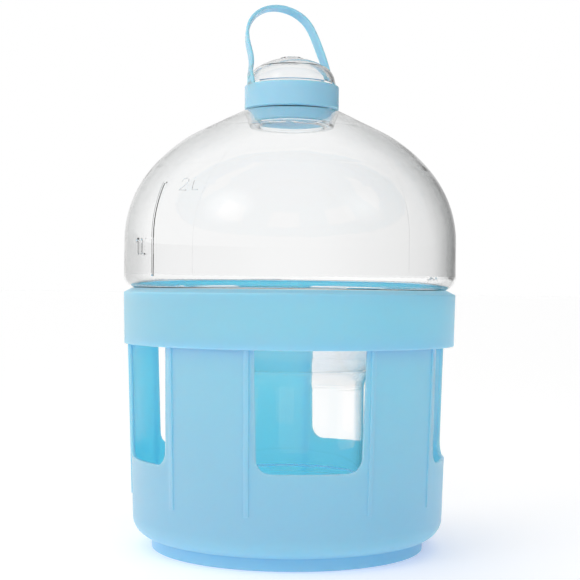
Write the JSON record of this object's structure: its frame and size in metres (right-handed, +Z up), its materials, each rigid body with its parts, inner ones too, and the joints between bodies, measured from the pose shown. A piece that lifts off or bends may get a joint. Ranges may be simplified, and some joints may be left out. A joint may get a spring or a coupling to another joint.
{
  "type": "poultry drinker",
  "caption": "Gravity drinker for pigeons and small poultry: clear domed tank upside down in a sky-blue windowed base, with a carry ring and folding loop strap on its knob.",
  "frame": {"origin": "middle of the foot ring's underside, on the floor", "axes": "+Z up along the tank's axis; -Y out through the middle of one drinking window; the strap's feet lie 20 degrees round from X"},
  "size_m": [0.2, 0.2, 0.3318],
  "materials": {
    "sky_blue_polypropylene": "moulded, satin gloss, slightly translucent",
    "clear_polyester": "blow-moulded, clear and glossy"
  },
  "bodies": {
    "stand": {"base": "sky_blue_polypropylene"},
    "reservoir": {"tank": "clear_polyester"},
    "ring": {"carry_ring": "sky_blue_polypropylene"},
    "loop": {"strap": "sky_blue_polypropylene"}
  },
  "joints": [
    {"name": "tank_lift", "type": "slide", "parent": "stand", "child": "reservoir", "axis": [0, 0, 1], "range_m": [0, 0.13]},
    {"name": "ring_turn", "type": "hinge", "parent": "reservoir", "child": "ring", "pos_m": [0, 0, 0.27], "axis": [0, 0, 1], "continuous": true},
    {"name": "strap_fold", "type": "hinge", "parent": "ring", "child": "loop", "pos_m": [0, 0, 0.2808], "axis": [0.9397, 0.342, 0], "range_deg": [-38, 92]}
  ]
}
